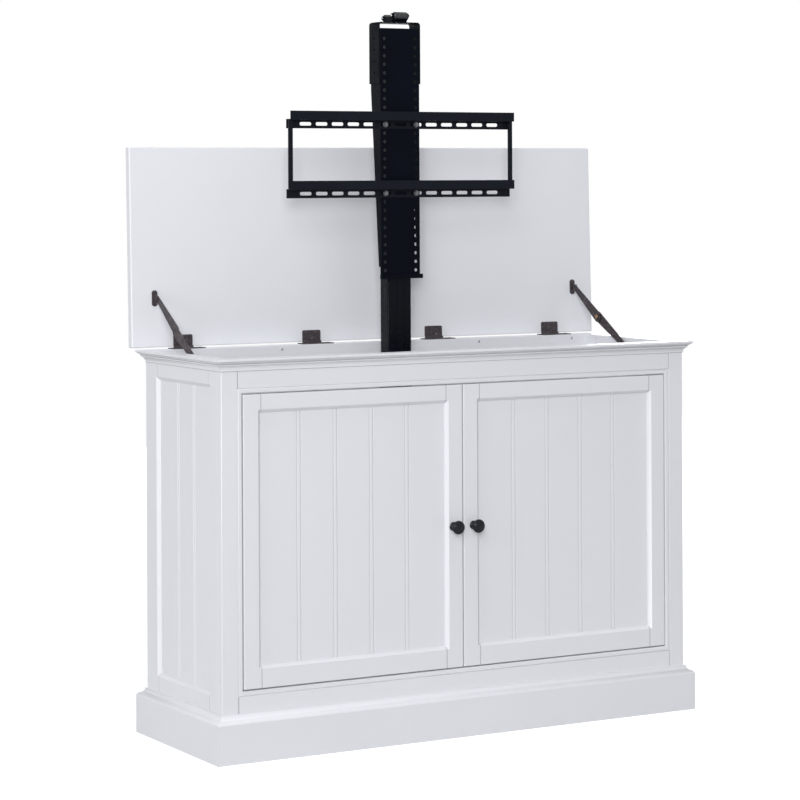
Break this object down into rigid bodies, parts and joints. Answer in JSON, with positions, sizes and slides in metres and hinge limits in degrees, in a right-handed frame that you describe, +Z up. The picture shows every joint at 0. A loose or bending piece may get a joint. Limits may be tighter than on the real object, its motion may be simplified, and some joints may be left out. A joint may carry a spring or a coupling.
{
  "type": "tv lift cabinet",
  "caption": "Painted cabinet with panelled doors, a hinged lid held by folding stays and a telescopic lift that raises a television bracket through the open top.",
  "frame": {"origin": "centre of the cabinet footprint, on the floor, at the underside of the floor bearer", "axes": "+X to the right seen from the front, +Y to the back, +Z up"},
  "size_m": [1.306, 0.502, 1.716],
  "materials": {
    "cabinet_paint": "smooth off-white satin paint on wood",
    "lift_enamel": "satin black enamel on steel",
    "dark_bronze": "dark bronze, slightly worn",
    "bright_steel": "bright zinc-plated steel",
    "motor_black": "black painted motor case",
    "black_plastic": "matte black plastic",
    "roller_plastic": "dark grey nylon",
    "black_knob": "black painted turned metal"
  },
  "bodies": {
    "cabinet": {"plinth_front": "cabinet_paint", "plinth_left": "cabinet_paint", "plinth_right": "cabinet_paint", "plinth_back": "cabinet_paint", "cornice_front": "cabinet_paint", "cornice_left": "cabinet_paint", "cornice_right": "cabinet_paint", "cornice_back": "cabinet_paint", "face_stile_left": "cabinet_paint", "face_stile_right": "cabinet_paint", "face_rail_top": "cabinet_paint", "face_rail_foot": "cabinet_paint", "door_bead": "cabinet_paint", "side_frame_left": "cabinet_paint", "side_panel_left": "cabinet_paint", "side_frame_right": "cabinet_paint", "side_panel_right": "cabinet_paint", "floor_panel": "cabinet_paint", "floor_bearer": "cabinet_paint", "back_panel": "cabinet_paint", "hinge_rail": "cabinet_paint", "door_hinge_plates": "bright_steel", "hinge_rail_leaves": "dark_bronze", "hinge_pins": "dark_bronze", "hinge_rail_screws": "bright_steel", "stay_side_plates": "dark_bronze", "lift_base_plate": "lift_enamel", "lift_tube_outer": "lift_enamel", "lift_screw_lower": "bright_steel", "lift_motor": "motor_black", "lift_control_box": "black_plastic", "lift_wall_bracket": "lift_enamel"},
    "door_left": {"door_frame_left": "cabinet_paint", "door_panel_left": "cabinet_paint", "knob_left": "black_knob", "door_hinge_cups_left": "bright_steel"},
    "door_right": {"door_frame_right": "cabinet_paint", "door_panel_right": "cabinet_paint", "knob_right": "black_knob", "door_hinge_cups_right": "bright_steel"},
    "lid": {"lid_panel": "cabinet_paint", "hinge_lid_leaves": "dark_bronze", "stay_lid_plates": "dark_bronze"},
    "upper_arm_left": {"stay_upper_arm_left": "dark_bronze"},
    "lower_arm_left": {"stay_lower_arm_left": "dark_bronze"},
    "upper_arm_right": {"stay_upper_arm_right": "dark_bronze"},
    "lower_arm_right": {"stay_lower_arm_right": "dark_bronze"},
    "middle_stage": {"lift_tube_middle": "lift_enamel", "lift_screw_upper": "bright_steel"},
    "carriage": {"lift_tube_inner": "lift_enamel", "carriage_channel": "lift_enamel", "cap_bracket": "lift_enamel", "roller_fork": "lift_enamel", "bracket_rail_upper": "lift_enamel", "bracket_rail_lower": "lift_enamel", "bracket_tie_left": "lift_enamel", "bracket_tie_right": "lift_enamel", "bracket_bolts": "bright_steel"},
    "front_roller": {"roller_front": "roller_plastic"},
    "rear_roller": {"roller_rear": "roller_plastic"}
  },
  "joints": [
    {"name": "door_left_hinge", "type": "hinge", "parent": "cabinet", "child": "door_left", "pos_m": [-0.5757, -0.204, 0.49225], "axis": [0, 0, -1], "range_deg": [0, 105]},
    {"name": "door_right_hinge", "type": "hinge", "parent": "cabinet", "child": "door_right", "pos_m": [0.5757, -0.204, 0.49225], "axis": [0, 0, 1], "range_deg": [0, 105]},
    {"name": "lid_hinge", "type": "hinge", "parent": "cabinet", "child": "lid", "pos_m": [0, 0.2276, 0.9084], "axis": [1, 0, 0], "range_deg": [0, 13]},
    {"name": "lift_slide", "type": "slide", "parent": "cabinet", "child": "carriage", "axis": [0, 0, 1], "range_m": [-0.815, 0]},
    {"name": "middle_slide", "type": "slide", "parent": "cabinet", "child": "middle_stage", "axis": [0, 0, 1], "range_m": [-0.4075, 0]},
    {"name": "stay_upper_left", "type": "hinge", "parent": "lid", "child": "upper_arm_left", "pos_m": [-0.5945, 0.21977, 1.02617], "axis": [1, 0, 0], "range_deg": [0, 11.2]},
    {"name": "stay_knee_left", "type": "hinge", "parent": "upper_arm_left", "child": "lower_arm_left", "pos_m": [-0.5945, 0.1135, 0.953], "axis": [1, 0, 0], "range_deg": [-40, 0]},
    {"name": "stay_upper_right", "type": "hinge", "parent": "lid", "child": "upper_arm_right", "pos_m": [0.5945, 0.21977, 1.02617], "axis": [1, 0, 0], "range_deg": [0, 11.2]},
    {"name": "stay_knee_right", "type": "hinge", "parent": "upper_arm_right", "child": "lower_arm_right", "pos_m": [0.5945, 0.1135, 0.953], "axis": [1, 0, 0], "range_deg": [-40, 0]},
    {"name": "front_roller_spin", "type": "hinge", "parent": "carriage", "child": "front_roller", "pos_m": [0, 0.0885, 1.707], "axis": [1, 0, 0], "continuous": true},
    {"name": "rear_roller_spin", "type": "hinge", "parent": "carriage", "child": "rear_roller", "pos_m": [0, 0.1355, 1.7026], "axis": [1, 0, 0], "continuous": true}
  ],
  "couplings": [
    {"joint": "middle_slide", "follows": "lift_slide", "ratio": 0.5},
    {"joint": "stay_upper_left", "follows": "lid_hinge", "ratio": 0.8305},
    {"joint": "stay_knee_left", "follows": "lid_hinge", "ratio": -3.0013},
    {"joint": "stay_upper_right", "follows": "lid_hinge", "ratio": 0.8305},
    {"joint": "stay_knee_right", "follows": "lid_hinge", "ratio": -3.0013}
  ]
}
